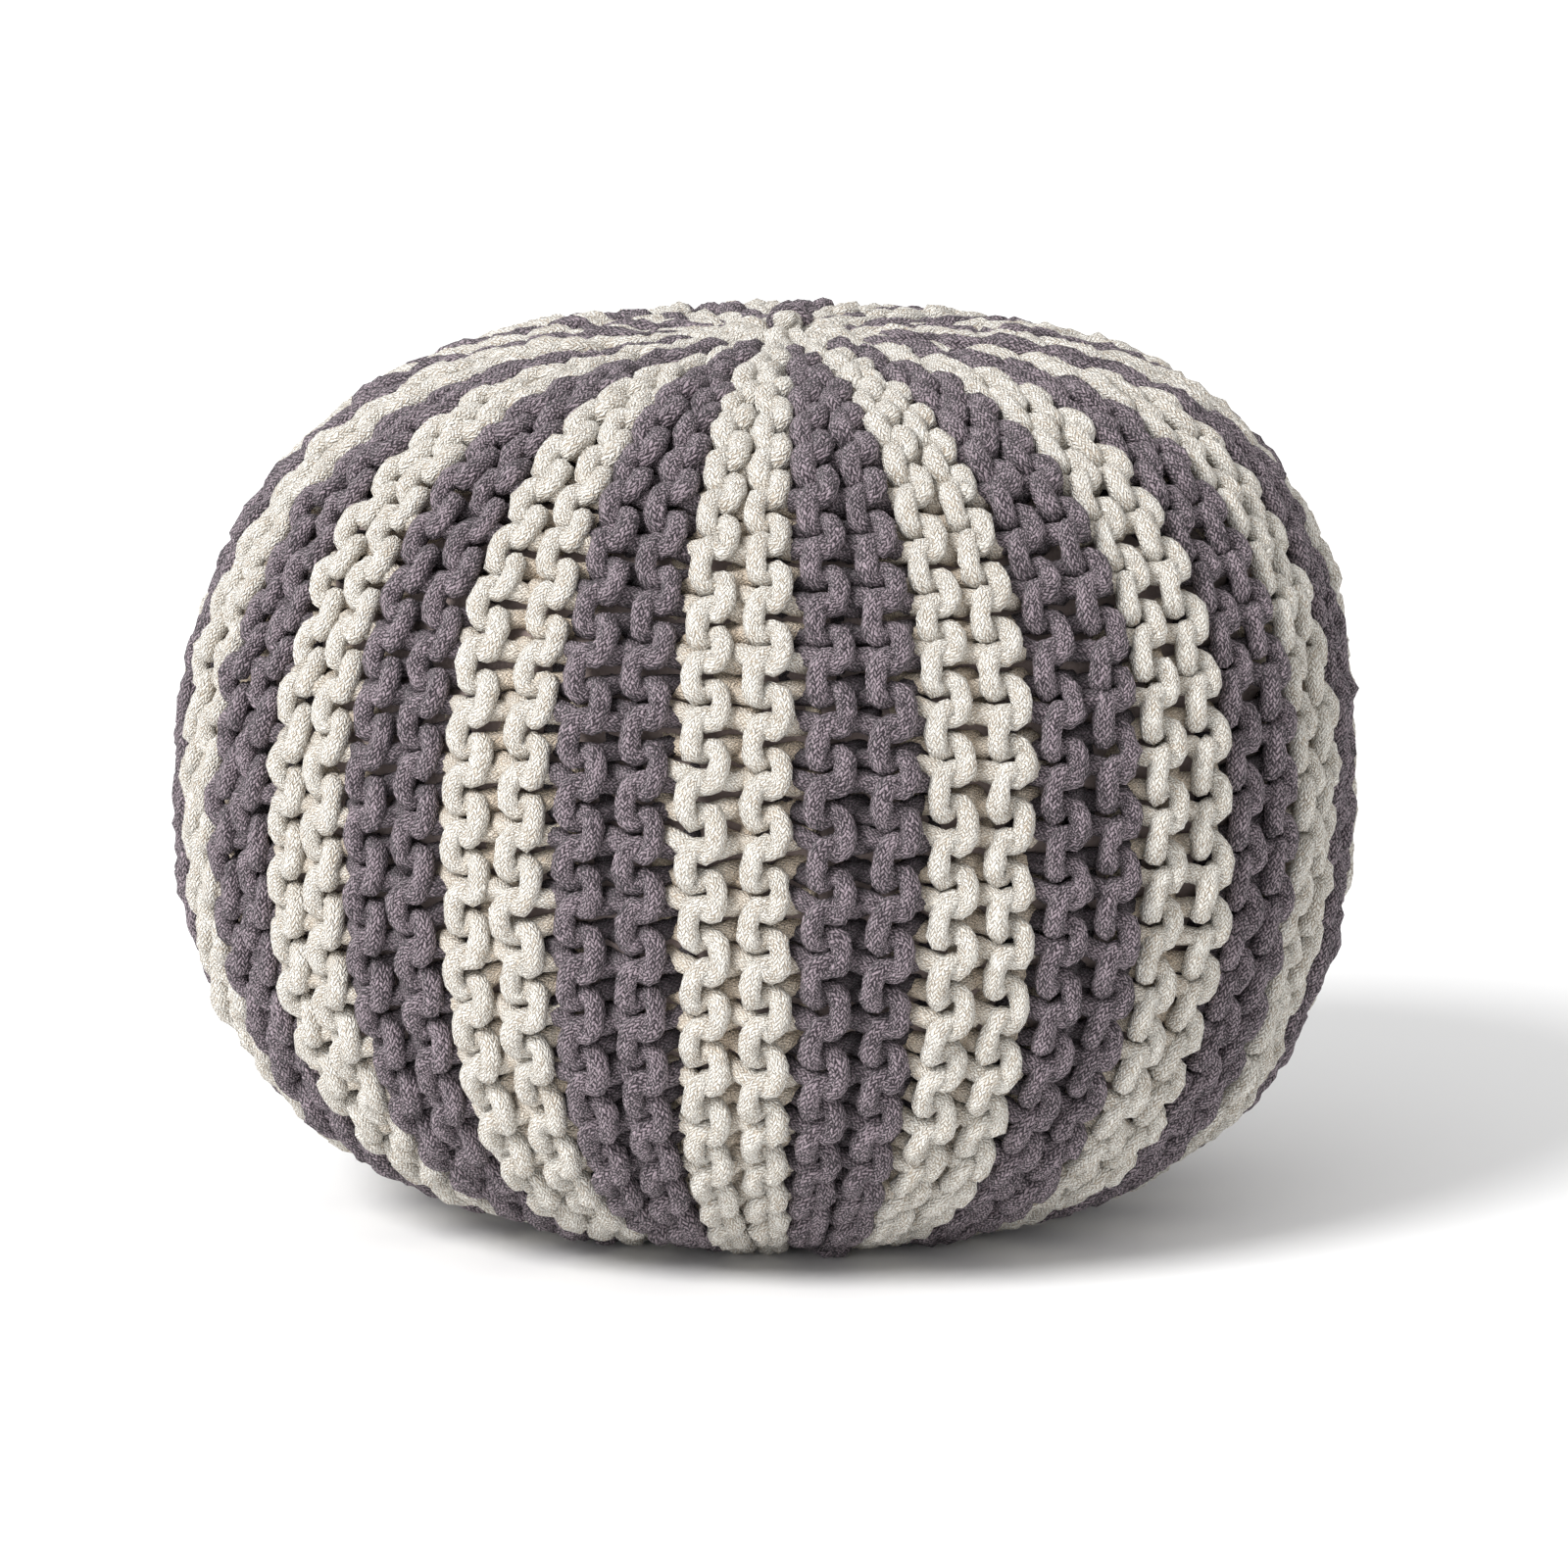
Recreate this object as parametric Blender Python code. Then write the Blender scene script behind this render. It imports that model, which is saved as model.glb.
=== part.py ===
"""Round floor pouf: a filled cover knitted sideways in thick cotton cord.

Thirty stripes run from pole to pole, cream and charcoal in turn.  Each stripe is two garter
ridges, which draw together into one as they near the poles.  The pouf rests on a flat spot, leans
a little, as its filling has settled, and is gathered at the crown, where a cord knot sits in a
shallow dimple.  Metres, +Z up, origin on the floor under the widest girth's centre; -Y is the front.
"""
import math

import bmesh
import bpy

# The filled body
DIAMETER = 0.500
RISE_ABOVE_GIRTH = 0.1905
DROP_BELOW_GIRTH = 0.1888
FLATTENED = 0.005
UPPER_FULLNESS = (3.55, 2.21)
LOWER_FULLNESS = (3.10, 2.32)
LEAN = (0.0046, 0.0073, -0.0033)

# The knitted ridges
STRIPES = 30
FIRST_BOUNDARY = math.radians(3.1)
SWAY = (math.radians(-0.46), math.radians(-1.84))
RIDGE_HEIGHT = 0.0085
RIDGE_HEIGHT_TO_PITCH = 0.34
RIDGE_ROUNDNESS = 0.6
PAIR_APART_FROM = 0.112
PAIR_MERGED_BY = 0.078
RIDGES_FADE_ABOVE_FLOOR = 0.022

# The gathered crown
DIMPLE_RADIUS = 0.026
DIMPLE_DEPTH = 0.005
KNOT_WIDTH = 0.0135
KNOT_HEIGHT = 0.0125
KNOT_LOBES = 5
KNOT_LOBE_DEPTH = 0.0006
SEAT_GAP = 0.0003

# Mesh fineness
STEPS_PER_STRIPE = 8
RINGS = 17
RING_SAMPLES = 400
CROWN_RING_RADII = (0.060, 0.040, 0.024, 0.012)
KNOT_STEPS = 20
KNOT_RINGS = 12

RADIUS = DIAMETER / 2
GIRTH_HEIGHT = DROP_BELOW_GIRTH - FLATTENED
CROWN_HEIGHT = GIRTH_HEIGHT + RISE_ABOVE_GIRTH


def smooth_step(low, high, value):
    """0 below low, 1 above high, and an S curve between them."""
    share = min(max((value - low) / (high - low), 0.0), 1.0)
    return share * share * (3 - 2 * share)


def crown_height_at(radius):
    """Height of the body's outline at a radius, on its upper half."""
    across, up = UPPER_FULLNESS
    return GIRTH_HEIGHT + RISE_ABOVE_GIRTH * (1 - (radius / RADIUS) ** across) ** (1 / up)


def outline_point(turn):
    """Radius and height on the outline: turn is 0 at the base's centre, 1 at the crown's."""
    angle = turn * math.pi
    above = angle > math.pi / 2
    across, up = UPPER_FULLNESS if above else LOWER_FULLNESS
    radius = RADIUS * abs(math.sin(angle)) ** (2 / across)
    rise = abs(math.cos(angle)) ** (2 / up)
    if above:
        return radius, GIRTH_HEIGHT + RISE_ABOVE_GIRTH * rise
    return radius, GIRTH_HEIGHT - DROP_BELOW_GIRTH * rise


def outline_rings():
    """Radius and height of each ring, evenly spaced up the side, then closing on the crown."""
    fine = [outline_point(i / RING_SAMPLES) for i in range(RING_SAMPLES + 1)]
    side = [p for p in fine if p[1] >= 0 and (p[1] < GIRTH_HEIGHT or p[0] > CROWN_RING_RADII[0])]
    across, up = LOWER_FULLNESS
    rim = RADIUS * (1 - (GIRTH_HEIGHT / DROP_BELOW_GIRTH) ** up) ** (1 / across)
    side.insert(0, (rim, 0.0))
    lengths = [0.0]
    for (r0, z0), (r1, z1) in zip(side, side[1:]):
        lengths.append(lengths[-1] + math.hypot(r1 - r0, z1 - z0))
    rings = []
    i = 0
    for ring in range(RINGS):
        target = lengths[-1] * ring / RINGS
        while lengths[i + 1] < target:
            i += 1
        share = (target - lengths[i]) / (lengths[i + 1] - lengths[i])
        rings.append(tuple(a + (b - a) * share for a, b in zip(side[i], side[i + 1])))
    rings += [(radius, crown_height_at(radius)) for radius in CROWN_RING_RADII]
    return rings + [(0.0, CROWN_HEIGHT)]


def bend_at(height, terms):
    """0 at the girth, growing with the first, second and third powers of the height from it."""
    share = (height - GIRTH_HEIGHT) / RISE_ABOVE_GIRTH
    return sum(term * share ** (power + 1) for power, term in enumerate(terms))


def lean_at(height):
    """How far the settled body stands to the right of its girth's centre at a height."""
    return bend_at(height, LEAN)


def sway_at(height):
    """Turn of the stripes at a height, largest towards the poles."""
    return bend_at(height, SWAY)


def ridge_sink(across, radius, height):
    """How far the surface lies below the ridge tops, at a place 0 to 1 across a stripe."""
    pair = smooth_step(PAIR_MERGED_BY, PAIR_APART_FROM, radius)
    two = math.sin(math.pi * ((2 * across) % 1.0)) ** RIDGE_ROUNDNESS
    one = math.sin(math.pi * across) ** RIDGE_ROUNDNESS
    crest = pair * two + (1 - pair) * one
    pitch = 2 * math.pi * radius / STRIPES * (1 - pair / 2)
    depth = min(RIDGE_HEIGHT, RIDGE_HEIGHT_TO_PITCH * pitch)
    if height < GIRTH_HEIGHT:
        depth *= smooth_step(0, RIDGES_FADE_ABOVE_FLOOR, height)
    return depth * (1 - crest)


def dimple_at(radius):
    """Depth of the gathered dimple in the crown at a radius."""
    if radius >= DIMPLE_RADIUS:
        return 0.0
    return DIMPLE_DEPTH * (1 - (radius / DIMPLE_RADIUS) ** 2) ** 2


def principled(name, colour, roughness):
    """A plain cord material."""
    material = bpy.data.materials.new(name)
    material.use_nodes = True
    shader = material.node_tree.nodes["Principled BSDF"]
    shader.inputs["Base Color"].default_value = (*colour, 1.0)
    shader.inputs["Roughness"].default_value = roughness
    shader.inputs["Metallic"].default_value = 0.0
    return material


def add_object(name, mesh_builder, materials):
    """Link a new object whose mesh is written from a bmesh, shaded smooth."""
    mesh = bpy.data.meshes.new(name)
    bmesh.ops.recalc_face_normals(mesh_builder, faces=mesh_builder.faces)
    mesh_builder.to_mesh(mesh)
    mesh_builder.free()
    mesh.shade_smooth()
    for material in materials:
        mesh.materials.append(material)
    obj = bpy.data.objects.new(name, mesh)
    bpy.context.scene.collection.objects.link(obj)
    return obj


def spun(rings, steps):
    """A bmesh of rings (radius, height) turned about Z, with its poles merged."""
    shell = bmesh.new()
    verts = [shell.verts.new((radius, 0, height)) for radius, height in rings]
    edges = [shell.edges.new(pair) for pair in zip(verts, verts[1:])]
    bmesh.ops.spin(shell, geom=verts + edges, cent=(0, 0, 0), axis=(0, 0, 1),
                   angle=2 * math.pi, steps=steps, use_merge=True)
    bmesh.ops.remove_doubles(shell, verts=shell.verts, dist=0.00001)
    return shell


def build_cover(cream, charcoal):
    """The filled, ridged cover: a turned outline, pressed in between its ridges, then leaned."""
    rings = outline_rings()
    shell = spun(rings, STRIPES * STEPS_PER_STRIPE)
    rim = [edge for edge in shell.edges if edge.is_boundary]
    bmesh.ops.edgeloop_fill(shell, edges=rim)
    shell.normal_update()
    normals = outline_normals(rings)
    stripe_turn = 2 * math.pi / STRIPES
    for vert in shell.verts:
        radius = math.hypot(vert.co.x, vert.co.y)
        height = vert.co.z
        angle = math.atan2(vert.co.y, vert.co.x)
        across = round(angle / stripe_turn * STEPS_PER_STRIPE) / STEPS_PER_STRIPE % 1.0
        out, up = normals[min(normals, key=lambda ring: abs(ring[0] - radius) + abs(ring[1] - height))]
        sink = ridge_sink(across, radius, height)
        spread = radius - out * sink
        azimuth = angle + FIRST_BOUNDARY + sway_at(height)
        vert.co.x = spread * math.sin(azimuth) + lean_at(height)
        vert.co.y = -spread * math.cos(azimuth)
        vert.co.z = height - up * sink - dimple_at(radius)
    for face in shell.faces:
        middle = face.calc_center_median()
        angle = math.atan2(middle.x - lean_at(middle.z), -middle.y)
        stripe = math.floor((angle - FIRST_BOUNDARY - sway_at(middle.z)) / stripe_turn)
        face.material_index = (stripe + 1) % 2
    return add_object("knit_cover", shell, [cream, charcoal])


def outline_normals(rings):
    """Outward direction (out, up) of the outline at each ring; level at the base's rim and crown."""
    normals = {rings[0]: (0.0, 0.0), rings[-1]: (0.0, 1.0)}
    for before, ring, after in zip(rings, rings[1:], rings[2:]):
        along, rise = after[0] - before[0], after[1] - before[1]
        length = math.hypot(along, rise)
        normals[ring] = (rise / length, -along / length)
    return normals


def build_knot(cream):
    """The gathering cord's knot: a small lobed ball, seated in the crown's dimple."""
    half_height = KNOT_HEIGHT / 2
    profile = []
    for ring in range(KNOT_RINGS + 1):
        angle = math.pi * ring / KNOT_RINGS
        profile.append((KNOT_WIDTH / 2 * math.sin(angle), half_height * (1 - math.cos(angle))))
    profile[0] = (0.0, profile[0][1])
    profile[-1] = (0.0, profile[-1][1])
    ball = spun(profile, KNOT_STEPS)
    seat = CROWN_HEIGHT - DIMPLE_DEPTH + SEAT_GAP
    for vert in ball.verts:
        radius = math.hypot(vert.co.x, vert.co.y)
        if radius > 0:
            angle = math.atan2(vert.co.y, vert.co.x)
            lobe = KNOT_LOBE_DEPTH * math.cos(KNOT_LOBES * angle) * radius / KNOT_WIDTH
            vert.co.x *= 1 + lobe / radius
            vert.co.y *= 1 + lobe / radius
        vert.co.x += lean_at(CROWN_HEIGHT)
        vert.co.z += seat
    return add_object("crown_knot", ball, [cream])


def build():
    """Clear the scene and build the pouf."""
    for obj in list(bpy.data.objects):
        bpy.data.objects.remove(obj)
    cream = principled("cream_cord", (0.76, 0.72, 0.62), 0.9)
    charcoal = principled("charcoal_cord", (0.13, 0.11, 0.13), 0.9)
    build_cover(cream, charcoal)
    build_knot(cream)


build()
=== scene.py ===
"""The looks of a round knitted floor pouf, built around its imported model.

The pouf is a filled bag inside a cover that is knitted sideways, from pole to pole, in thick
braided cotton cord.  Thirty stripes in cream and charcoal close the round, and every stitch is
a real loop of cord here.  Metres, +Z up, and the front faces -Y.
"""

import math

import bmesh
import bpy
import numpy as np
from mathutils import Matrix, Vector


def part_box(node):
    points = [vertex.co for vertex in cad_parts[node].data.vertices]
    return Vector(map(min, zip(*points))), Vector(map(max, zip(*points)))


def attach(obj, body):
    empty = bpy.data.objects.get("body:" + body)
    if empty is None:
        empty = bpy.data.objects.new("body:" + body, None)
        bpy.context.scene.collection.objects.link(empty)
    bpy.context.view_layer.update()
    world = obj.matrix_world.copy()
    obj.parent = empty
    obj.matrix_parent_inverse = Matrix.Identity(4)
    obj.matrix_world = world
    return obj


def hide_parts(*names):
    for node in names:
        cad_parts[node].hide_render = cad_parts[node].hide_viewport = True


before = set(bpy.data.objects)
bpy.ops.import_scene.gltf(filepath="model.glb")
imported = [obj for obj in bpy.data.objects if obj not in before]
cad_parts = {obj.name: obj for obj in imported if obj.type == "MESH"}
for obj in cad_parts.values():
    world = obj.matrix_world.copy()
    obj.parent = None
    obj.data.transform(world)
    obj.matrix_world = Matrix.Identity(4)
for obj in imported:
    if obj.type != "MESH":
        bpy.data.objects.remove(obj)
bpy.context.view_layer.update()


# ---- Camera ---------------------------------------------------------------------------------
# A long lens, five metres off and a little above the pouf, as for a studio product shot.
# It looks slightly past the pouf's middle, so that the pouf sits where the picture has it.
CAMERA_DISTANCE = 5.005
CAMERA_ELEVATION = math.radians(10.4)
CAMERA_TARGET = Vector((0.0077, 0.0, 0.1796))
LENS_MM = 271.3
SENSOR_MM = 36.0
CLIP_END = 100.0

camera_data = bpy.data.cameras.new("camera")
camera_data.lens = LENS_MM
camera_data.sensor_width = SENSOR_MM
camera_data.clip_end = CLIP_END
camera = bpy.data.objects.new("camera", camera_data)
bpy.context.scene.collection.objects.link(camera)
camera_back = Vector((0.0, -math.cos(CAMERA_ELEVATION), math.sin(CAMERA_ELEVATION)))
camera.location = CAMERA_TARGET + camera_back * CAMERA_DISTANCE
camera.rotation_euler = (-camera_back).to_track_quat("-Z", "Y").to_euler()
bpy.context.scene.camera = camera


# ---- Filled body ----------------------------------------------------------------------------
# The bag of filling that the cover is stretched over, sewn from plain-woven cotton; its dark dusky
# brown is painted shade for the gaps between stitches.  It lies about two cord thicknesses inside
# the cover's face, and shows only in the gaps between stitches.
GIRTH_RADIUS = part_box("knit_cover")[1].x
GIRTH_HEIGHT = 0.1838
RISE_ABOVE_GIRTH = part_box("knit_cover")[1].z - GIRTH_HEIGHT
DROP_BELOW_GIRTH = 0.1888
UPPER_FULLNESS = (3.55, 2.21)
LOWER_FULLNESS = (3.10, 2.32)
LEAN = (0.0046, 0.0073, -0.0033)
SWAY = (math.radians(-0.46), math.radians(-1.84))
OUTLINE_SAMPLES = 4000
SMOOTHED_SAMPLES = 60

CORD = 0.0084
LOOP_DEPTH = 0.97 * CORD
BODY_DEPTH = LOOP_DEPTH + CORD
BODY_STEPS = 120
BODY_RINGS = 60
MERGE_WITHIN = 0.00001

WEAVE_SCALE = 900.0
WEAVE_DETAIL = 3.0
WEAVE_RELIEF = 0.0003
# The bag's dark and pale tones, mixed by the weave, are painted shade for the gaps between stitches.
BAG_DARK = (0.180, 0.138, 0.130, 1.0)
BAG_PALE = (0.32, 0.255, 0.238, 1.0)
COTTON_SHEEN_ROUGHNESS = 0.5
COTTON_SPECULAR = 0.25


def outline():
    """The cover's outer outline: arrays of length from the base's centre, radius, height, normal."""
    turn = np.linspace(0, math.pi, OUTLINE_SAMPLES)
    rise = np.abs(np.cos(turn))
    spread = np.abs(np.sin(turn))
    above = turn > math.pi / 2
    radius = GIRTH_RADIUS * np.where(above, spread ** (2 / UPPER_FULLNESS[0]),
                                     spread ** (2 / LOWER_FULLNESS[0]))
    height = GIRTH_HEIGHT + np.where(above, RISE_ABOVE_GIRTH * rise ** (2 / UPPER_FULLNESS[1]),
                                     -DROP_BELOW_GIRTH * rise ** (2 / LOWER_FULLNESS[1]))
    height = np.maximum(height, 0.0)
    length = np.concatenate([[0.0], np.cumsum(np.hypot(np.diff(radius), np.diff(height)))])
    even = np.linspace(0, length[-1], OUTLINE_SAMPLES)
    radius = np.interp(even, length, radius)
    height = np.interp(even, length, height)
    kernel = np.hanning(2 * SMOOTHED_SAMPLES + 1)
    kernel /= kernel.sum()
    out, up = (np.convolve(np.pad(side, SMOOTHED_SAMPLES, "edge"), kernel, "valid")
               for side in (np.gradient(height), -np.gradient(radius)))
    size = np.hypot(out, up)
    return even, radius, height, out / size, up / size


OUTLINE = outline()
MERIDIAN = OUTLINE[0][-1]


def lean_at(share):
    """How far the settled pouf stands to the right, at a share of the rise above its girth."""
    return LEAN[0] * share + LEAN[1] * share ** 2 + LEAN[2] * share ** 3


def on_cover(length, azimuth, sink):
    """Points a depth below the cover's outline, at a length up the meridian and an azimuth."""
    radius, height, out, up = (np.interp(length, OUTLINE[0], side) for side in OUTLINE[1:])
    share = (height - GIRTH_HEIGHT) / RISE_ABOVE_GIRTH
    azimuth = azimuth + SWAY[0] * share + SWAY[1] * share ** 2
    radius = np.maximum(radius - out * sink, 0.0)
    return np.stack([radius * np.sin(azimuth) + lean_at(share), -radius * np.cos(azimuth),
                     height - up * sink], axis=-1)


def add_piece(name, mesh):
    """Link a finished mesh as a piece, shaded smooth, that rides on the pouf's only body."""
    mesh.shade_smooth()
    piece = bpy.data.objects.new(name, mesh)
    bpy.context.scene.collection.objects.link(piece)
    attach(piece, "root")
    return piece


def filled_body():
    """The bag: the cover's outline, a depth inside it, turned once round and then leaned."""
    side = on_cover(np.linspace(0, MERIDIAN, BODY_RINGS), 0.0, BODY_DEPTH)
    side[:, 0] = 0.0
    side[[0, -1], 1] = 0.0
    bag = bmesh.new()
    verts = [bag.verts.new(point) for point in side]
    edges = [bag.edges.new(pair) for pair in zip(verts, verts[1:])]
    bmesh.ops.spin(bag, geom=verts + edges, cent=(0, 0, 0), axis=(0, 0, 1),
                   angle=2 * math.pi, steps=BODY_STEPS, use_merge=True)
    bmesh.ops.remove_doubles(bag, verts=bag.verts, dist=MERGE_WITHIN)
    bmesh.ops.recalc_face_normals(bag, faces=bag.faces)
    # Merging leaves the faces in no set order, so they are sorted, by a number that each has alone.
    bag.verts.index_update()
    bag.faces.sort(key=lambda face: sum(vert.index ** 2 for vert in face.verts))
    for vert in bag.verts:
        vert.co.x += lean_at((vert.co.z - GIRTH_HEIGHT) / RISE_ABOVE_GIRTH)
    mesh = bpy.data.meshes.new("filled_body")
    bag.to_mesh(mesh)
    bag.free()
    return mesh


def cotton(name, roughness, sheen):
    """A new cotton material, its node tree and its Principled shader."""
    material = bpy.data.materials.new(name)
    material.use_nodes = True
    tree = material.node_tree
    shader = tree.nodes["Principled BSDF"]
    shader.inputs["Roughness"].default_value = roughness
    shader.inputs["Sheen Weight"].default_value = sheen
    shader.inputs["Sheen Roughness"].default_value = COTTON_SHEEN_ROUGHNESS
    shader.inputs["Specular IOR Level"].default_value = COTTON_SPECULAR
    return material, tree, shader


def noise(tree, coordinates, scale, detail):
    """A noise texture's value on given coordinates."""
    node = tree.nodes.new("ShaderNodeTexNoise")
    node.inputs["Scale"].default_value = scale
    node.inputs["Detail"].default_value = detail
    tree.links.new(coordinates, node.inputs["Vector"])
    return node.outputs["Fac"]


def add_relief(tree, shader, height, distance):
    """Bump on a shader, where a height of one stands for a distance in metres."""
    bump = tree.nodes.new("ShaderNodeBump")
    bump.inputs["Distance"].default_value = distance
    tree.links.new(height, bump.inputs["Height"])
    tree.links.new(bump.outputs["Normal"], shader.inputs["Normal"])


def bag_cloth():
    """Plain-woven cotton in a dusky brown, dark as painted shade in the gaps between stitches."""
    material, tree, shader = cotton("bag_cloth", roughness=0.95, sheen=0.1)
    place = tree.nodes.new("ShaderNodeTexCoord").outputs["Object"]
    weave = noise(tree, place, WEAVE_SCALE, WEAVE_DETAIL)
    tint = tree.nodes.new("ShaderNodeValToRGB")
    tint.color_ramp.elements[0].color = BAG_DARK
    tint.color_ramp.elements[1].color = BAG_PALE
    tree.links.new(weave, tint.inputs["Fac"])
    tree.links.new(tint.outputs["Color"], shader.inputs["Base Color"])
    add_relief(tree, shader, weave, WEAVE_RELIEF)
    return material


body = add_piece("filled_body", filled_body())
body.data.materials.append(bag_cloth())
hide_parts("knit_cover")


# ---- Knitted stripes ------------------------------------------------------------------------
# Each stripe is four rows of garter stitch in braided cotton cord of one colour: two ridges of
# loops, their heads and feet in front and their legs running back into the valleys.  The second
# ridge turns back short of the poles, and one charcoal stripe ends in a loop that stands up.

# The stripes round the cover, and the radii near the poles where ridges merge and turn back.
STRIPES = 30
FIRST_BOUNDARY = math.radians(3.1)
PAIR_APART_FROM = 0.112
PAIR_MERGED_BY = 0.078
SHORT_RIDGE_ENDS_AT = 0.097
CREAM_ENDS_AT = 0.008
CHARCOAL_ENDS_AT = 0.026
LONG_CHARCOALS = (9, 13, 17, 21)
LONG_ENDS_AT = 0.021

# A stitch's length up the meridian, the place of stitch 0, and the feet's place in stitches.
STITCH = 0.0259
STITCH_AT = 0.4116
FEET_ABOVE_HEADS = 0.5

# The waves that shape a loop as it runs once round: up the meridian, in stitches, with the droop
# of its front in metres; across, in pitches of the ridge; and outwards.
LOOP_WIDENING = 0.16
LOOP_SHOULDER = 0.02
LOOP_CORNERS = 0.01
HEAD_PINCH = 0.015
FRONT_DROOP = 0.0024
LOOP_REACH = 0.535
LOOP_SQUARENESS = 0.02
LOOP_OFFSET = 0.272
LOOP_SLANT = 0.05
LOOP_PLATEAU = 0.05 * CORD
LEG_RISE = 0.20 * CORD
LOOP_TILT = 0.19 * CORD
HALF_LOOP_TURNS = (15, 29, 43, 57, 71, 86, 104, 126, 152)
LOOP_TURNS = np.radians([-180, *(-turn for turn in HALF_LOOP_TURNS[::-1]), 0, *HALF_LOOP_TURNS])

# The bend at a ridge's ends, round the back from the row of heads to the row of feet.
TURN_BACK_POINTS = 4
TURN_BACK_REACH = 0.3 * STITCH
TURN_BACK_DEPTH = 0.6 * CORD

# The gathers at the poles, where cream crowds out charcoal and the middle is drawn in.
CROWDED_FROM = 0.034
CROWDED_BY = 0.014
CREAM_CROWDING = 2.0
CHARCOAL_CROWDING = 0.4
CROWDED_RISE = 0.0022
GATHER_REACH = 0.100
GATHER_PULL = 0.0055
GATHER_RADIUS = 0.020
GATHER_DIP = 0.0065

# How thick the cord is, as a share of CORD, and its swelling over the upper shoulder.
LOOP_SWELLING = 1.08
LEG_THINNING = 0.01
SHOULDER_SWELLING = 0.12
SHOULDER_FROM = 0.215
SHOULDER_BY = 0.165
UPPER_FROM = 0.5 * MERIDIAN
UPPER_BY = 0.6 * MERIDIAN

# How uneven the stitches and the cord are, with random shifts that start two stitches beyond.
SHIFTS_BEYOND = 2
UNEVEN_UP = 0.17 * CORD
UNEVEN_SLANT = 0.0022
UNEVEN_SIDE = 0.030
UNEVEN_OUT = 0.15 * CORD
CORD_LUMPS = 0.05
CORD_WANDER = 0.0003
CORD_ROUGHNESS = 0.065
SEED = 41

# The loop that stands up behind the knot, and how deep a cord on top of the knit counts as for the
# painted shade.
STANDING_STRIPE = 15
STANDING_AT = Vector((0.0100, 0.0115, 0.3740))
STANDING_HALF_WIDTH = 0.0060
STANDING_HALF_HEIGHT = 0.0056
STANDING_TILT = math.radians(-14)
STANDING_POINTS = 24
TOP_DEPTH = 0.1

# The sides of the swept cord.
BEVEL_RESOLUTION = 2
CORD_SIDES = 4 + 2 * BEVEL_RESOLUTION


def smooth_step(low, high, value):
    """0 below low, 1 above high, and an S curve between them, on arrays."""
    share = np.clip((value - low) / (high - low), 0.0, 1.0)
    return share * share * (3 - 2 * share)


def radius_at(length):
    """The cover's radius at a length up the meridian."""
    return np.interp(length, OUTLINE[0], OUTLINE[1])


def is_cream(stripe):
    """Whether a stripe is knitted in cream: every other one is."""
    return stripe % 2 == 0


def ridge_place(length, stripe, second):
    """Where a ridge's middle lies across its stripe, 0 to 1, and its pitch in stripes."""
    radius = radius_at(length)
    pair = smooth_step(PAIR_MERGED_BY, PAIR_APART_FROM, radius)
    middle = 0.5 + (0.25 if second else -0.25) * pair
    pitch = 1.0 - 0.5 * pair
    room = smooth_step(CROWDED_BY, CROWDED_FROM, radius)
    crowding = CREAM_CROWDING if is_cream(stripe) else CHARCOAL_CROWDING
    return middle, pitch * (crowding + (1 - crowding) * room)


def ridge_stitches(stripe, second):
    """The numbers of a ridge's first and last stitch, from the radius at which it turns back."""
    ends_at = CREAM_ENDS_AT if is_cream(stripe) else CHARCOAL_ENDS_AT
    if stripe in LONG_CHARCOALS:
        ends_at = LONG_ENDS_AT
    if second:
        ends_at = SHORT_RIDGE_ENDS_AT
    lengths, radii = OUTLINE[:2]
    lower = lengths < MERIDIAN / 2
    low = np.interp(ends_at, radii[lower], lengths[lower])
    high = np.interp(-ends_at, -radii[~lower], lengths[~lower])
    first = math.ceil((low - STITCH_AT) / STITCH)
    last = math.floor((high - STITCH_AT) / STITCH - FEET_ABOVE_HEADS)
    return first, last


def stitch_row(stitches, feet):
    """A row of heads, or of feet, as lines: up the meridian, across the ridge, out, thickness."""
    turns = (stitches[:, None] * 2 * math.pi + LOOP_TURNS[None, :]).ravel()
    sign = -1.0 if feet else 1.0
    start = STITCH_AT + (FEET_ABOVE_HEADS * STITCH if feet else 0.0)
    swing = (LOOP_WIDENING * np.sin(2 * turns) + LOOP_SHOULDER * np.sin(3 * turns)
             + LOOP_CORNERS * np.sin(4 * turns) - sign * HEAD_PINCH * np.sin(turns))
    along = start + STITCH * (turns / (2 * math.pi) + swing) - FRONT_DROOP * np.cos(turns)
    reach = LOOP_REACH * np.cos(turns) - LOOP_SQUARENESS * np.cos(3 * turns)
    across = sign * (reach - LOOP_OFFSET) + LOOP_SLANT * np.sin(turns)
    out = (LOOP_DEPTH * np.cos(turns) + LOOP_PLATEAU * np.cos(3 * turns)
           + LEG_RISE * np.sin(turns) ** 2 - sign * LOOP_TILT * np.sin(turns))
    thick = LOOP_SWELLING - LEG_THINNING * np.sin(turns) ** 2
    row = np.stack([along, across, out, thick])
    return row[:, ::-1] if feet else row


def turn_back(row_end, row_start, way):
    """The bend round the back from one row's end to the next row's start, way 1 at the crown."""
    bend = np.linspace(0, math.pi, TURN_BACK_POINTS + 2)[1:-1]
    share = (1 - np.cos(bend)) / 2
    points = row_end[:, None] * (1 - share) + row_start[:, None] * share
    points[0] += way * TURN_BACK_REACH * np.sin(bend)
    points[2] -= TURN_BACK_DEPTH * np.sin(bend)
    return points


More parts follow.
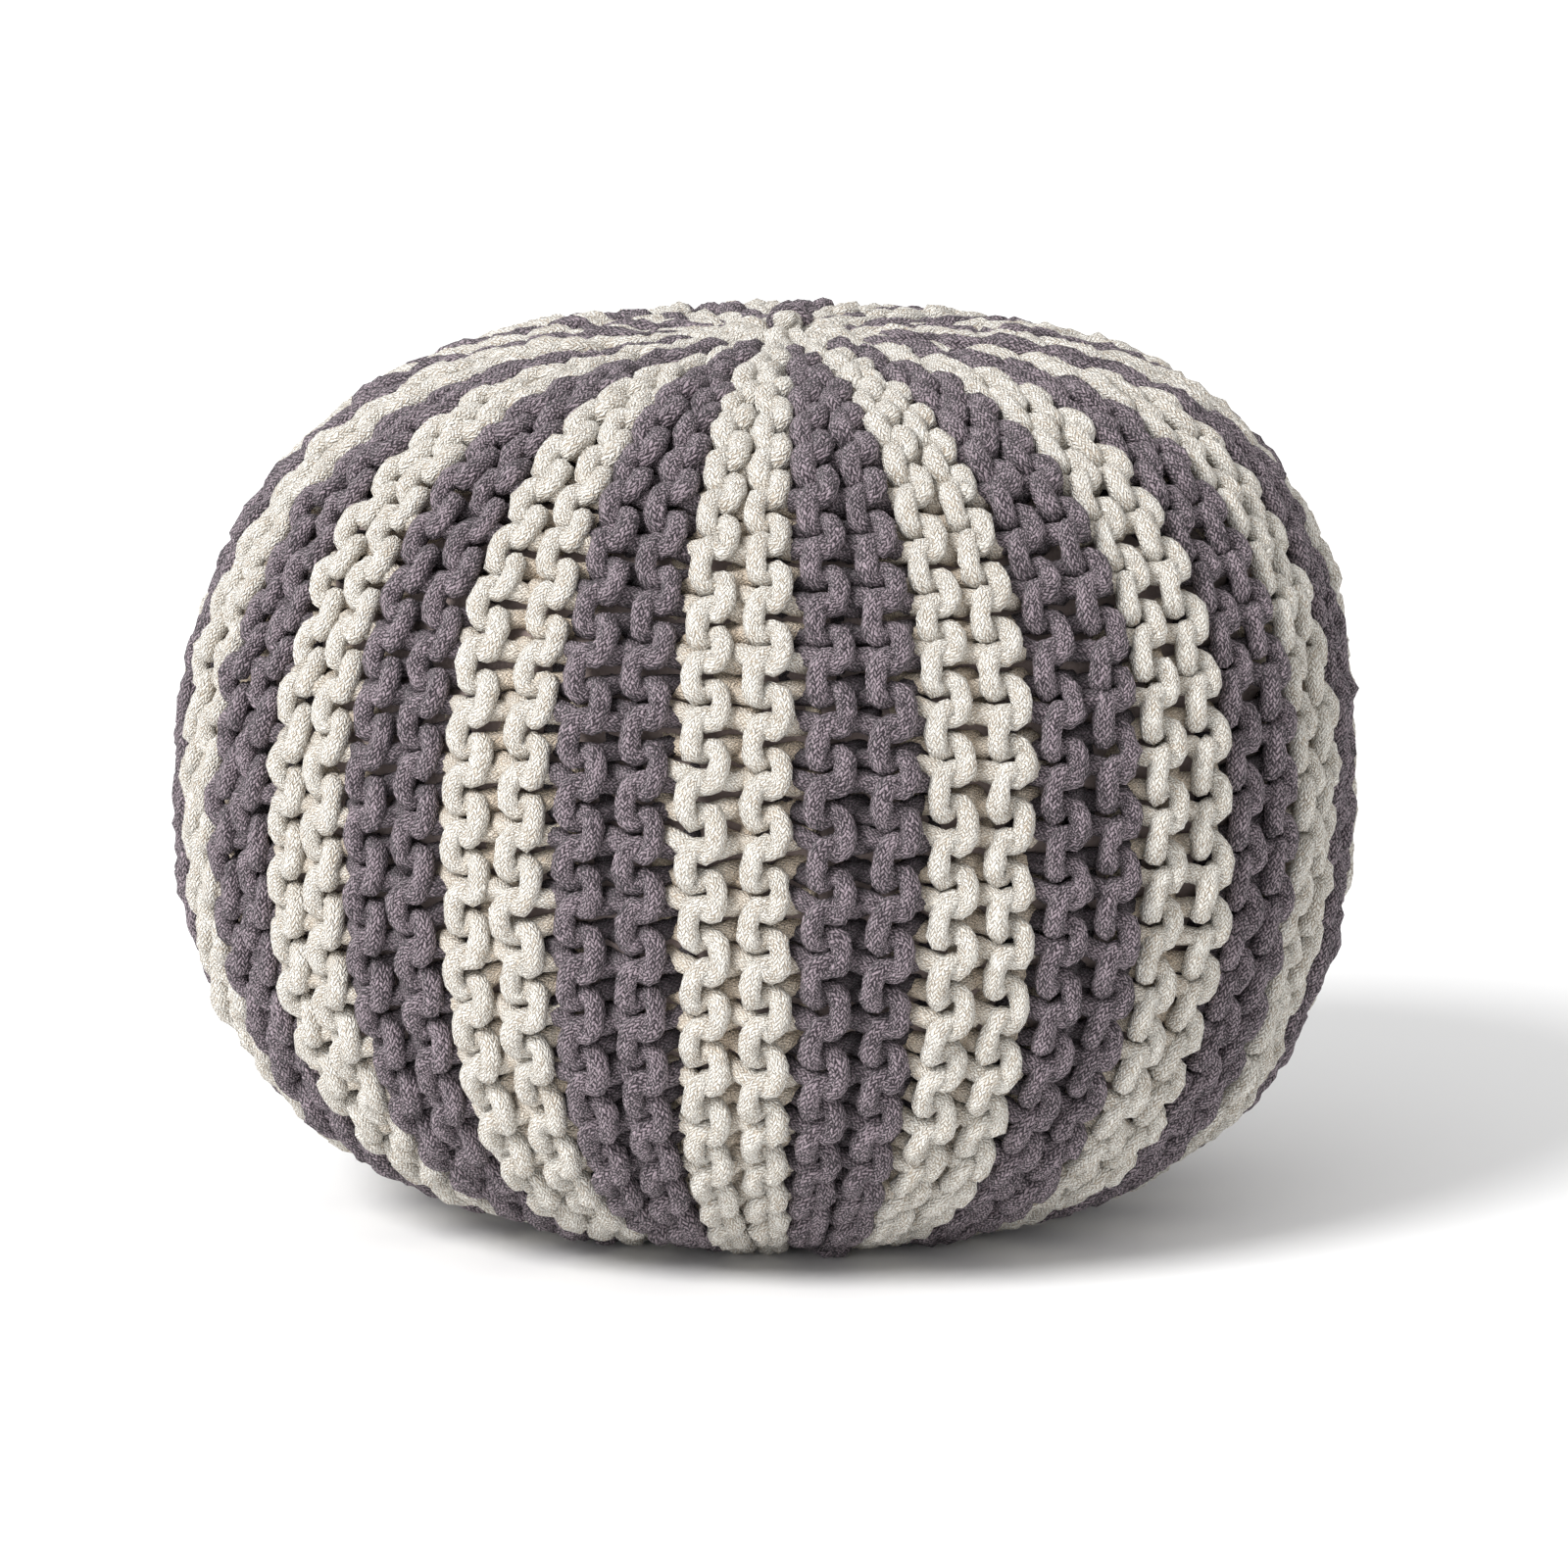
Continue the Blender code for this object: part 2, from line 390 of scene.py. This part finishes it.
def ridge_path(stripe, second, rng):
    """One ridge's cord, heads up the meridian and feet back: closed line, thickness, depth."""
    cream = is_cream(stripe)
    first, last = ridge_stitches(stripe, second)
    stitches = np.arange(first, last + 1)
    heads = stitch_row(stitches, feet=False)
    feet = stitch_row(stitches, feet=True)
    along, across, out, thick = np.concatenate(
        [heads, turn_back(heads[:, -1], feet[:, 0], 1),
         feet, turn_back(feet[:, -1], heads[:, 0], -1)], axis=1)

    knots = np.arange(first - SHIFTS_BEYOND, last + SHIFTS_BEYOND + 2) - 0.5
    knots = STITCH_AT + STITCH * knots
    shift_up, shift_side, shift_out, slant = rng.normal(0, 1, (4, len(knots)))
    along = (along + UNEVEN_UP * np.interp(along, knots, shift_up)
             + UNEVEN_SLANT * across * np.interp(along, knots, slant))
    if cream and not second:
        crown = smooth_step(MERIDIAN - GATHER_REACH, MERIDIAN, along)
        base = smooth_step(-GATHER_REACH, 0.0, -along)
        along = along + GATHER_PULL * (crown - base)
    middle, pitch = ridge_place(along, stripe, second)
    radius = radius_at(along)
    upper = smooth_step(UPPER_FROM, UPPER_BY, along)
    shoulder = smooth_step(-SHOULDER_FROM, -SHOULDER_BY, -radius)
    thick = thick * (1 + SHOULDER_SWELLING * upper * shoulder)
    if cream:
        out = out + CROWDED_RISE * (1 - smooth_step(CROWDED_BY, CROWDED_FROM, radius))
        out = out - GATHER_DIP * (1 - smooth_step(0.0, GATHER_RADIUS, radius))
    across = across + UNEVEN_SIDE * np.interp(along, knots, shift_side)
    out = out + UNEVEN_OUT * np.interp(along, knots, shift_out)
    thick = thick * (1 + CORD_LUMPS * rng.normal(0, 1, len(thick)))
    along = along + CORD_WANDER * rng.normal(0, 1, len(thick))
    out = out + CORD_WANDER * rng.normal(0, 1, len(thick))

    azimuth = FIRST_BOUNDARY + (stripe - 1 + middle + across * pitch) * 2 * math.pi / STRIPES
    points = on_cover(np.clip(along, 0.0, MERIDIAN), azimuth,
                      LOOP_DEPTH + LOOP_PLATEAU + CORD / 2 - out)
    points[:, 2] = np.maximum(points[:, 2], thick * CORD / 2)
    return points, thick, (LOOP_DEPTH - out) / (2 * LOOP_DEPTH)


def standing_loop():
    """The last stitch of the charcoal stripe behind the knot: it stands up, half sunk."""
    turn = np.linspace(0, 2 * math.pi, STANDING_POINTS, endpoint=False)
    across = STANDING_HALF_WIDTH * np.cos(turn)
    rise = STANDING_HALF_HEIGHT * np.sin(turn)
    cosine, sine = math.cos(STANDING_TILT), math.sin(STANDING_TILT)
    points = np.stack([STANDING_AT.x + across * cosine - rise * sine,
                       np.full(STANDING_POINTS, STANDING_AT.y),
                       STANDING_AT.z + across * sine + rise * cosine], axis=-1)
    return points, np.full(STANDING_POINTS, LOOP_SWELLING), np.full(STANDING_POINTS, TOP_DEPTH)


def lay_on_cord(points):
    """Each skin point's place on its cord: its direction round it as x and y, its length as z."""
    steps = np.linalg.norm(np.diff(points, axis=0), axis=1)
    around = 2 * math.pi * np.arange(CORD_SIDES) / CORD_SIDES
    lay = np.zeros((len(points), CORD_SIDES, 3))
    lay[..., 0] = np.cos(around)
    lay[..., 1] = np.sin(around)
    lay[..., 2] = np.concatenate([[0.0], np.cumsum(steps)])[:, None]
    return lay.reshape(-1, 3)


def swept_mesh(name, runs):
    """Round cord swept along closed runs of points, as a mesh."""
    curve = bpy.data.curves.new(name, "CURVE")
    curve.dimensions = "3D"
    curve.bevel_depth = CORD / 2
    curve.bevel_resolution = BEVEL_RESOLUTION
    for points, thick, depth in runs:
        spline = curve.splines.new("POLY")
        spline.points.add(len(points) - 1)
        spline.points.foreach_set("co", np.column_stack([points, np.ones(len(points))]).ravel())
        spline.points.foreach_set("radius", thick)
        spline.use_cyclic_u = True
    swept = bpy.data.objects.new(name, curve)
    bpy.context.scene.collection.objects.link(swept)
    evaluated = swept.evaluated_get(bpy.context.evaluated_depsgraph_get())
    mesh = bpy.data.meshes.new_from_object(evaluated)
    bpy.data.objects.remove(swept)
    bpy.data.curves.remove(curve)
    mesh.name = name
    return mesh


def cord_mesh(name, runs, rng):
    """Swept cord with a rough skin, and with its lay and depth, which sets the painted shade, kept
    on the mesh.
    """
    mesh = swept_mesh(name, runs)
    middles = np.concatenate([points for points, thick, depth in runs])
    middles = np.repeat(middles, CORD_SIDES, axis=0)
    skin = np.empty(middles.size)
    mesh.vertices.foreach_get("co", skin)
    skin = skin.reshape(-1, 3)
    skin = middles + (skin - middles) * (1 + CORD_ROUGHNESS * rng.normal(0, 1, (len(middles), 1)))
    skin[:, 2] = np.maximum(skin[:, 2], 0.0)
    mesh.vertices.foreach_set("co", skin.ravel())
    lays = np.concatenate([lay_on_cord(points) for points, thick, depth in runs])
    lay = mesh.attributes.new("cord_lay", "FLOAT_VECTOR", "POINT")
    lay.data.foreach_set("vector", lays.astype(np.float32).ravel())
    depths = np.repeat(np.concatenate([depth for points, thick, depth in runs]), CORD_SIDES)
    depth = mesh.attributes.new("cord_depth", "FLOAT", "POINT")
    depth.data.foreach_set("value", depths.astype(np.float32))
    return mesh


# The braid: columns of strands round the cord, its step along it, and the threads in a strand.
BRAID_COLUMNS = 18
BRAID_STEP = 0.0020
STRANDS_OVER = 2.0
BRAID_REPEAT = 2 * STRANDS_OVER
STRAND_FULLNESS = 0.5
THREADS_ACROSS = 3.5
THREADS_APART = 40.0
BRAID_WANDER = 0.7
WANDER_SCALE = 450.0

# The cotton's fuzz and patches, and what each part adds to the relief and to the lightness.
FUZZ_SCALE = 1400.0
PATCH_SCALE = 90.0
BRAID_RELIEF = 0.0013
THREAD_RELIEF = 0.6
FUZZ_RELIEF = 1.6
# The strands' height lightens their crests and darkens the furrows between them: painted shade.
STRAND_SHADING = 1.7
FLECK_LIGHT = 0.9
THREAD_LIGHT = 1.6
FUZZ_LIGHT = 3.0
PATCH_LIGHT = 0.9

# The depths between which the cord takes on its deep colour, a painted shade, and how far it does.
SHADE_DEEP_FROM = 0.18
SHADE_DEEP_BY = 0.70
SHADE_DEEP_SHARE = 0.85


def feed(tree, value, socket):
    """Link another node's output to a socket, or set the socket to a constant."""
    if isinstance(value, bpy.types.NodeSocket):
        tree.links.new(value, socket)
    else:
        socket.default_value = value


def math_node(tree, operation, *values):
    """A Math node's result on its inputs, each a socket or a number."""
    node = tree.nodes.new("ShaderNodeMath")
    node.operation = operation
    for value, socket in zip(values, node.inputs):
        feed(tree, value, socket)
    return node.outputs[0]


def mixed(tree, kind, share, first, second):
    """Two values or colours mixed by a share, each a socket or a constant."""
    node = tree.nodes.new("ShaderNodeMix")
    node.data_type = kind
    first_input, output = (2, 0) if kind == "FLOAT" else (6, 2)
    sockets = (node.inputs[0], node.inputs[first_input], node.inputs[first_input + 1])
    for value, socket in zip((share, first, second), sockets):
        feed(tree, value, socket)
    return node.outputs[output]


def joined(tree, *values):
    """A vector of up to three values, each a socket or a number."""
    node = tree.nodes.new("ShaderNodeCombineXYZ")
    for value, socket in zip(values, node.inputs):
        feed(tree, value, socket)
    return node.outputs[0]


def braid(tree, lay, wander):
    """Height, random shade and threads of a round braid, strands two over, two under in columns."""
    parts = tree.nodes.new("ShaderNodeSeparateXYZ")
    tree.links.new(lay, parts.inputs[0])
    angle = math_node(tree, "ARCTAN2", parts.outputs[1], parts.outputs[0])
    around = math_node(tree, "MULTIPLY", angle, BRAID_COLUMNS / (2 * math.pi))
    along = math_node(tree, "MULTIPLY", parts.outputs[2], 1 / BRAID_STEP)
    around = math_node(tree, "ADD", around, wander)
    along = math_node(tree, "ADD", along, wander)

    # Two families of strands cross, and in each column one of them lies on top.
    left = math_node(tree, "ADD", around, along)
    right = math_node(tree, "SUBTRACT", around, along)
    left_strand = math_node(tree, "FLOOR", left)
    right_strand = math_node(tree, "FLOOR", right)
    column = math_node(tree, "ADD", left_strand, right_strand)
    place = math_node(tree, "FLOORED_MODULO", column, BRAID_REPEAT)
    right_over = math_node(tree, "GREATER_THAN", place, STRANDS_OVER - 0.5)
    strand = mixed(tree, "FLOAT", right_over, left_strand, right_strand)
    across = math_node(tree, "FRACT", mixed(tree, "FLOAT", right_over, left, right))

    # How far the upper strand has run over the lower ones, 0 to 1.
    left_place = math_node(tree, "ADD", right, left_strand)
    left_run = math_node(tree, "FLOORED_MODULO", left_place, BRAID_REPEAT)
    right_place = math_node(tree, "ADD", left, right_strand)
    right_place = math_node(tree, "SUBTRACT", right_place, STRANDS_OVER)
    right_run = math_node(tree, "FLOORED_MODULO", right_place, BRAID_REPEAT)
    run = mixed(tree, "FLOAT", right_over, left_run, right_run)
    run = math_node(tree, "MULTIPLY", run, 1 / STRANDS_OVER)

    across_hump = math_node(tree, "SINE", math_node(tree, "MULTIPLY", across, math.pi))
    run_hump = math_node(tree, "SINE", math_node(tree, "MULTIPLY", run, math.pi))
    run_hump = math_node(tree, "POWER", run_hump, STRAND_FULLNESS)
    height = math_node(tree, "MULTIPLY", across_hump, run_hump)
    pair = math_node(tree, "FLOOR", math_node(tree, "MULTIPLY", column, 1 / STRANDS_OVER))
    fleck_node = tree.nodes.new("ShaderNodeTexWhiteNoise")
    tree.links.new(joined(tree, strand, pair), fleck_node.inputs["Vector"])
    fleck = fleck_node.outputs["Value"]
    thread_place = joined(tree, math_node(tree, "MULTIPLY", across, THREADS_ACROSS), run,
                          math_node(tree, "MULTIPLY", fleck, THREADS_APART))
    threads = noise(tree, thread_place, scale=1.0, detail=1.0)
    return height, fleck, threads


def cord_cotton(name, furrow_shade, strand, deep_shade, lightness, roughness, sheen):
    """Braided cotton in three colours: its strands, and painted shade in its furrows and deep in the
    knit.
    """
    material, tree, shader = cotton(name, roughness, sheen)
    lay = tree.nodes.new("ShaderNodeAttribute")
    lay.attribute_name = "cord_lay"
    depth = tree.nodes.new("ShaderNodeAttribute")
    depth.attribute_name = "cord_depth"
    place = tree.nodes.new("ShaderNodeTexCoord").outputs["Object"]
    fuzz = noise(tree, place, FUZZ_SCALE, detail=2.0)
    patches = noise(tree, place, PATCH_SCALE, detail=2.0)
    wander = math_node(tree, "MULTIPLY", noise(tree, place, WANDER_SCALE, detail=1.0), BRAID_WANDER)
    height, fleck, threads = braid(tree, lay.outputs["Vector"], wander)

    relief = math_node(tree, "ADD", height, math_node(tree, "MULTIPLY", threads, THREAD_RELIEF))
    relief = math_node(tree, "ADD", relief, math_node(tree, "MULTIPLY", fuzz, FUZZ_RELIEF))
    add_relief(tree, shader, relief, BRAID_RELIEF)

    # The tone: the strands' height lightens crests and darkens furrows, painted shade; fleck,
    # threads, fuzz and patches vary it at random.
    tone_and_shade = lightness
    for part, share in ((height, STRAND_SHADING), (fleck, FLECK_LIGHT), (threads, THREAD_LIGHT),
                        (fuzz, FUZZ_LIGHT), (patches, PATCH_LIGHT)):
        tone_and_shade = math_node(tree, "ADD", math_node(tree, "MULTIPLY", part, share), tone_and_shade)
    tone_and_shade.node.use_clamp = True
    colour = mixed(tree, "RGBA", tone_and_shade, (*furrow_shade, 1), (*strand, 1))
    # Painted shade: cord deeper in the knit is mixed towards the deep colour, darker, and warm tan
    # in cream.
    shade_share = tree.nodes.new("ShaderNodeMapRange")
    shade_share.inputs["From Min"].default_value = SHADE_DEEP_FROM
    shade_share.inputs["From Max"].default_value = SHADE_DEEP_BY
    shade_share.inputs["To Max"].default_value = SHADE_DEEP_SHARE
    tree.links.new(depth.outputs["Fac"], shade_share.inputs["Value"])
    colour = mixed(tree, "RGBA", shade_share.outputs[0], colour, (*deep_shade, 1))
    tree.links.new(colour, shader.inputs["Base Color"])
    return material


# The furrow and deep colours are painted shade, near black in charcoal and tan in cream.
cream_cotton = cord_cotton("cream_cotton", furrow_shade=(0.52, 0.43, 0.33), strand=(0.965, 0.932, 0.86),
                           deep_shade=(0.78, 0.62, 0.45), lightness=-3.2, roughness=0.9, sheen=0.2)
charcoal_cotton = cord_cotton("charcoal_cotton", furrow_shade=(0.024, 0.014, 0.021),
                              strand=(0.405, 0.323, 0.367), deep_shade=(0.021, 0.011, 0.017),
                              lightness=-3.66, roughness=0.85, sheen=0.15)

rng = np.random.RandomState(SEED)
for stripe in range(STRIPES):
    colour = "cream" if is_cream(stripe) else "charcoal"
    name = f"{colour}_stripe_{stripe // 2 + 1:02d}"
    runs = [ridge_path(stripe, second, rng) for second in (False, True)]
    if stripe == STANDING_STRIPE:
        runs.append(standing_loop())
    piece = add_piece(name, cord_mesh(name, runs, rng))
    piece.data.materials.append(cream_cotton if is_cream(stripe) else charcoal_cotton)
    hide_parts("knit_cover")


# ---- Crown knot -----------------------------------------------------------------------------
# The cord that gathers the cover's top is tied off in a small round knot over the middle.  It is
# the same cotton, pulled thinner, and goes round twice as it passes over and under itself.
KNOT_LOW, KNOT_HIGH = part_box("crown_knot")
KNOT_MIDDLE = (KNOT_LOW + KNOT_HIGH) / 2
KNOT_HALF = (KNOT_HIGH - KNOT_LOW) / 2
KNOT_CORD = 0.0068
KNOT_SWING = 0.0012
KNOT_ROUNDS = 2
KNOT_WAVES = 3
KNOT_POINTS = 72

turn = np.linspace(0, 2 * math.pi, KNOT_POINTS, endpoint=False)
reach = KNOT_HALF.x - KNOT_CORD / 2 - KNOT_SWING + KNOT_SWING * np.cos(KNOT_WAVES * turn)
rise = (KNOT_HALF.z - KNOT_CORD / 2) * np.sin(KNOT_WAVES * turn)
winding = np.stack([KNOT_MIDDLE.x + reach * np.cos(KNOT_ROUNDS * turn),
                    KNOT_MIDDLE.y + reach * np.sin(KNOT_ROUNDS * turn),
                    KNOT_MIDDLE.z + rise], axis=-1)
knot_run = (winding, np.full(KNOT_POINTS, KNOT_CORD / CORD), np.full(KNOT_POINTS, TOP_DEPTH))
knot = add_piece("crown_knot_cord", cord_mesh("crown_knot_cord", [knot_run], rng))
knot.data.materials.append(cream_cotton)
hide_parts("crown_knot")


# ---- Floor and light ------------------------------------------------------------------------
# A plain pale floor and soft studio light: a broad lamp high at the front left, a weaker and
# softer one almost level at the front left, and an even white surround.
FLOOR_HALF = 30.0
FLOOR_PAINT = (0.95, 0.95, 0.95, 1.0)
FLOOR_ROUGHNESS = 0.8
SURROUND_STRENGTH = 0.80

paint = bpy.data.materials.new("floor_paint")
paint.use_nodes = True
painted = paint.node_tree.nodes["Principled BSDF"]
painted.inputs["Base Color"].default_value = FLOOR_PAINT
painted.inputs["Roughness"].default_value = FLOOR_ROUGHNESS

paper = bmesh.new()
bmesh.ops.create_grid(paper, x_segments=1, y_segments=1, size=FLOOR_HALF)
floor_mesh = bpy.data.meshes.new("floor")
paper.to_mesh(floor_mesh)
paper.free()
floor_mesh.materials.append(paint)
floor = bpy.data.objects.new("floor", floor_mesh)
bpy.context.scene.collection.objects.link(floor)


def sun_lamp(name, strength, spread, towards):
    """A distant lamp that shines one way, softened by its spread across the sky in degrees."""
    data = bpy.data.lights.new(name, "SUN")
    data.energy = strength
    data.angle = math.radians(spread)
    lamp = bpy.data.objects.new(name, data)
    lamp.rotation_euler = Vector(towards).to_track_quat("-Z", "Y").to_euler()
    bpy.context.scene.collection.objects.link(lamp)


sun_lamp("key_lamp", strength=3.35, spread=24, towards=(0.60, 0.68, -0.70))
sun_lamp("fill_lamp", strength=1.0, spread=40, towards=(0.50, 0.86, -0.02))

surround = bpy.data.worlds.new("surround")
surround.use_nodes = True
background = surround.node_tree.nodes["Background"]
background.inputs["Color"].default_value = (1, 1, 1, 1)
background.inputs["Strength"].default_value = SURROUND_STRENGTH
bpy.context.scene.world = surround
bpy.context.scene.view_settings.view_transform = "Standard"
